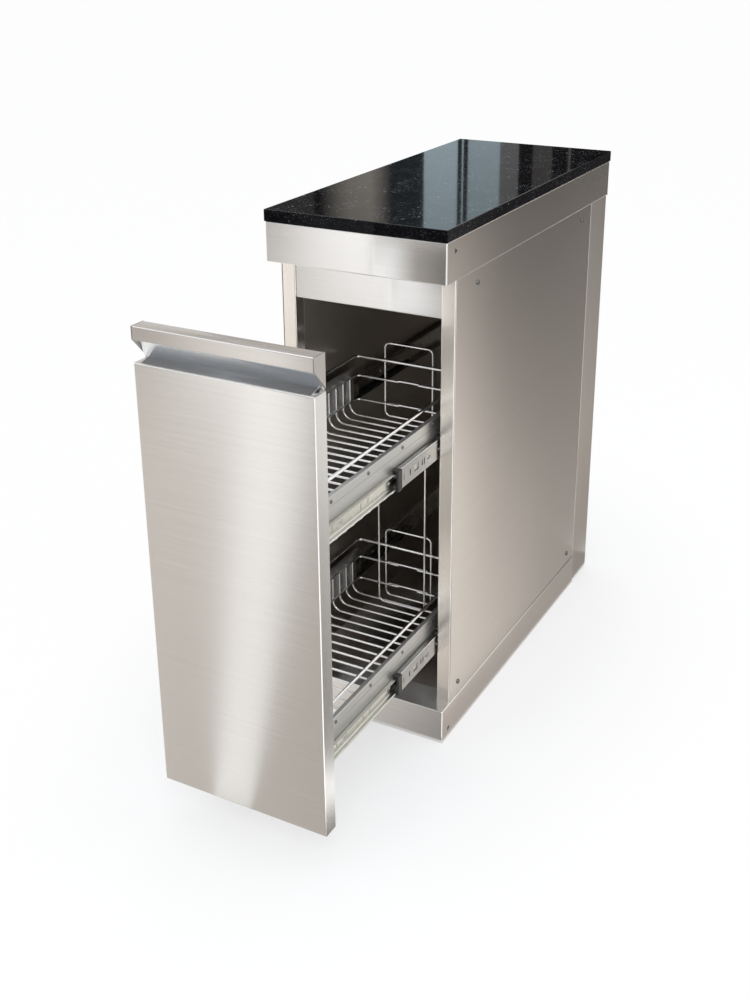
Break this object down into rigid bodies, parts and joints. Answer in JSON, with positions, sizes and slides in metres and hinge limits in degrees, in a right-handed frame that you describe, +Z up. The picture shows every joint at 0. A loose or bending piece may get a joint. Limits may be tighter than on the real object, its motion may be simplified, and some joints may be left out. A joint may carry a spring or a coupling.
{
  "type": "outdoor kitchen cabinet",
  "caption": "Narrow outdoor kitchen cabinet in stainless steel with a polished stone worktop and a tall pull-out drawer front that carries wire baskets on ball-bearing slides.",
  "frame": {"origin": "on the floor, in the middle of the cabinet's footprint with the drawer left out of account", "axes": "+X to the right seen from the front, the drawer opens towards -Y, +Z up"},
  "size_m": [0.328, 1.1135, 0.92],
  "materials": {
    "polished_stone": "polished dark granite with fine pale specks",
    "brushed_stainless": "satin brushed stainless steel sheet",
    "polished_stainless": "bright stainless steel tube",
    "bay_stainless": "plain mill stainless steel sheet",
    "drawer_stainless": "stainless steel brushed across the front",
    "backing_stainless": "plain mill stainless steel sheet",
    "slide_zinc": "zinc plated steel",
    "rail_steel": "bright folded steel sheet",
    "wire_chrome": "chromed round wire",
    "guide_plastic": "black moulded plastic",
    "cage_steel": "pressed zinc plated strip",
    "ball_steel": "polished bearing steel",
    "fastener_steel": "turned stainless steel"
  },
  "bodies": {
    "cabinet": {"worktop": "polished_stone", "apron_front": "brushed_stainless", "apron_rear": "brushed_stainless", "header_panel": "brushed_stainless", "plinth_front": "brushed_stainless", "plinth_rear": "brushed_stainless", "apron_left": "brushed_stainless", "apron_right": "brushed_stainless", "side_panel_left": "brushed_stainless", "side_panel_right": "brushed_stainless", "plinth_left": "brushed_stainless", "plinth_right": "brushed_stainless", "rear_post_left": "brushed_stainless", "rear_post_right": "brushed_stainless", "front_post_left": "polished_stainless", "front_post_right": "polished_stainless", "back_panel": "bay_stainless", "floor_panel": "bay_stainless", "worktop_braces": "bay_stainless", "plinth_brace": "bay_stainless", "inner_wall_left": "bay_stainless", "inner_wall_right": "bay_stainless", "slide_outer_upper_left": "slide_zinc", "slide_outer_upper_right": "slide_zinc", "slide_outer_lower_left": "slide_zinc", "slide_outer_lower_right": "slide_zinc", "side_panel_screws": "fastener_steel", "slide_rivets": "fastener_steel"},
    "slide_middle": {"slide_middle_upper_left": "slide_zinc", "slide_middle_upper_right": "slide_zinc", "slide_middle_lower_left": "slide_zinc", "slide_middle_lower_right": "slide_zinc", "slide_end_guides": "guide_plastic"},
    "drawer": {"drawer_face": "drawer_stainless", "handle_bar": "drawer_stainless", "handle_groove": "drawer_stainless", "handle_caps": "drawer_stainless", "drawer_backing": "backing_stainless", "basket_rail_upper_left": "rail_steel", "basket_rail_upper_right": "rail_steel", "basket_rail_lower_left": "rail_steel", "basket_rail_lower_right": "rail_steel", "slide_inner_upper_left": "slide_zinc", "slide_inner_upper_right": "slide_zinc", "slide_inner_lower_left": "slide_zinc", "slide_inner_lower_right": "slide_zinc", "upper_basket_rim": "wire_chrome", "upper_basket_sides": "wire_chrome", "upper_basket_cross_wires": "wire_chrome", "lower_basket_rim": "wire_chrome", "lower_basket_sides": "wire_chrome", "lower_basket_cross_wires": "wire_chrome", "upper_basket_guard": "wire_chrome", "lower_basket_guards": "wire_chrome", "rim_clips": "wire_chrome", "rail_screws": "fastener_steel"},
    "outer_cages": {"outer_ball_cages": "cage_steel", "outer_balls": "ball_steel"},
    "inner_cages": {"inner_ball_cages": "cage_steel", "inner_balls": "ball_steel"}
  },
  "joints": [
    {"name": "middle_slide", "type": "slide", "parent": "cabinet", "child": "slide_middle", "axis": [0, -1, 0], "range_m": [-0.148, 0.132]},
    {"name": "drawer_slide", "type": "slide", "parent": "slide_middle", "child": "drawer", "axis": [0, -1, 0], "range_m": [-0.23, 0.05]},
    {"name": "outer_cage_roll", "type": "slide", "parent": "cabinet", "child": "outer_cages", "axis": [0, -1, 0], "range_m": [-0.074, 0.066]},
    {"name": "inner_cage_roll", "type": "slide", "parent": "slide_middle", "child": "inner_cages", "axis": [0, -1, 0], "range_m": [-0.115, 0.025]}
  ],
  "couplings": [
    {"joint": "outer_cage_roll", "follows": "middle_slide", "ratio": 0.5},
    {"joint": "inner_cage_roll", "follows": "drawer_slide", "ratio": 0.5}
  ]
}
